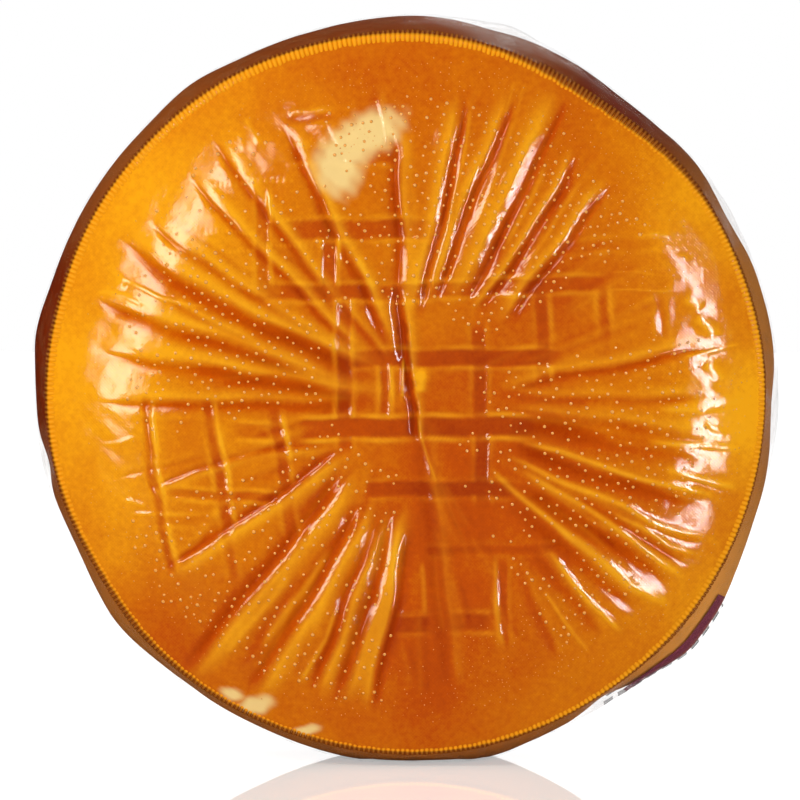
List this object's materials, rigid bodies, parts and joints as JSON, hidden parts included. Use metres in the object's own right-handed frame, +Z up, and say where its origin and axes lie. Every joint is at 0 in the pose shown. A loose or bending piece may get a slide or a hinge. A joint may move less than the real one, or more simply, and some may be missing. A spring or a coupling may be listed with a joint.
{
  "type": "smoked cheese wheel",
  "caption": "Pressed, smoked wheel of cheese with a cloth-pleated face, shrink-wrapped in clear film, standing on its rim.",
  "frame": {"origin": "middle of the bounding box's bottom: on the flat of the rim that the wheel stands on", "axes": "+Z up, +Y along the wheel's axis from the pleated front face to the back face, +X to the right seen from the front"},
  "size_m": [0.3046, 0.076, 0.3043],
  "materials": {
    "smoked_rind": "smoked cheese rind, amber to orange-brown, satin, with a wet gloss where the film lies on it",
    "shrink_film": "clear heat-shrunk film, glossy, with faint milky folds and plain translucent printed blocks"
  },
  "bodies": {
    "root": {"cheese_wheel": "smoked_rind", "shrink_film": "shrink_film"}
  },
  "joints": []
}
